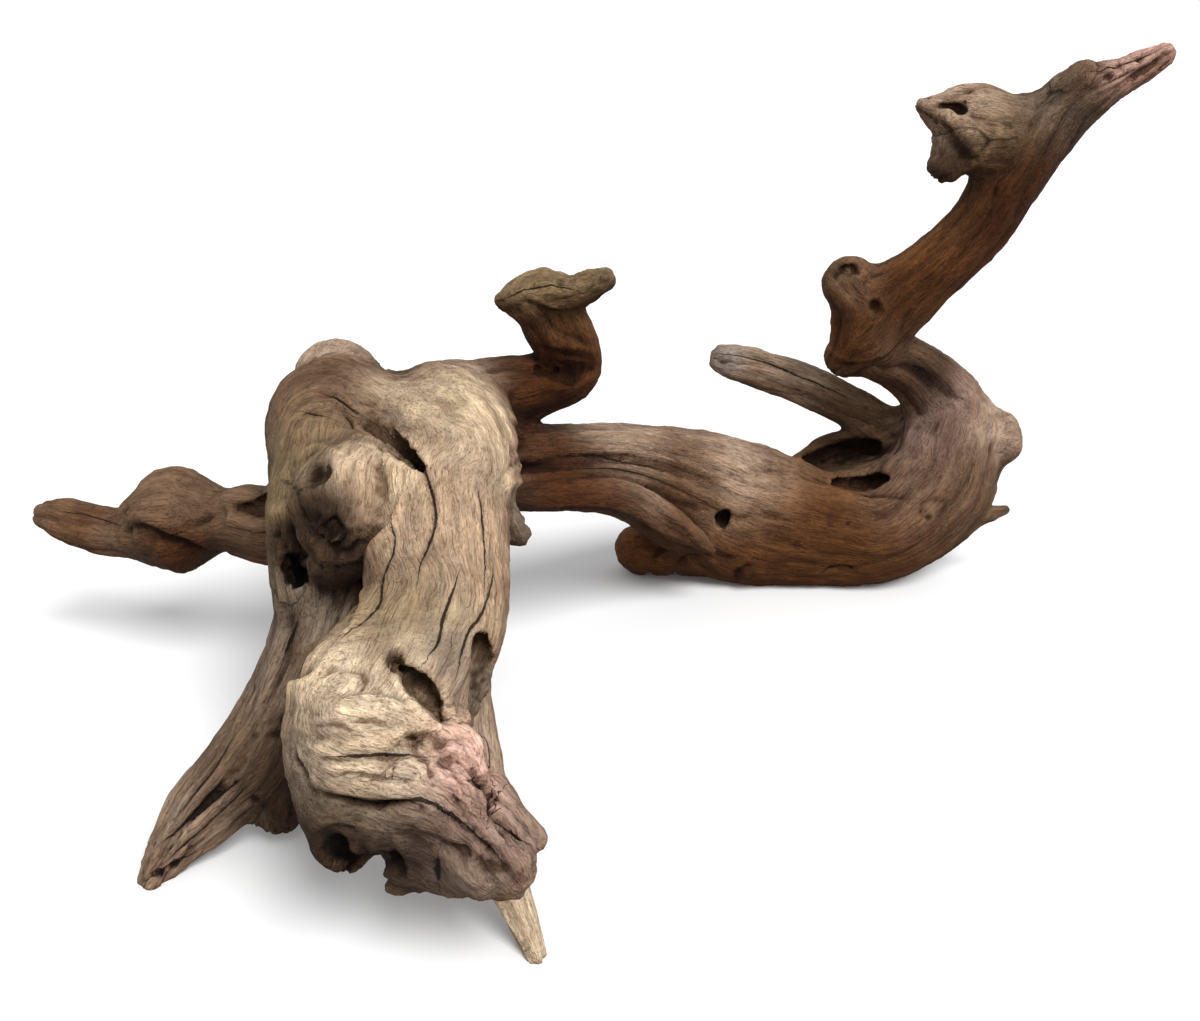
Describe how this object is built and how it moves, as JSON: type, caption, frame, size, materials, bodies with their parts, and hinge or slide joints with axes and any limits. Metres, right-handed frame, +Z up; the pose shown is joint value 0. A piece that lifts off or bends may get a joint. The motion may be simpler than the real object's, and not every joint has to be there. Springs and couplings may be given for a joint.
{
  "type": "mangrove driftwood",
  "caption": "Weathered mangrove root stock with a ridged, hollowed trunk, an arched leg, side arms and a rising branch, lying on its low roots.",
  "frame": {"origin": "middle of the bounding box in plan, at floor level, under the lowest points of the wood", "axes": "+Z up from the floor the wood lies on, +X to the right along its longest extent as seen in the picture, -Y towards the viewer, where the blunt split end of the trunk points"},
  "size_m": [0.8322, 0.5551, 0.4361],
  "materials": {
    "weathered_wood": "dry, weathered, matt grain"
  },
  "bodies": {
    "root": {"driftwood": "weathered_wood"}
  },
  "joints": []
}
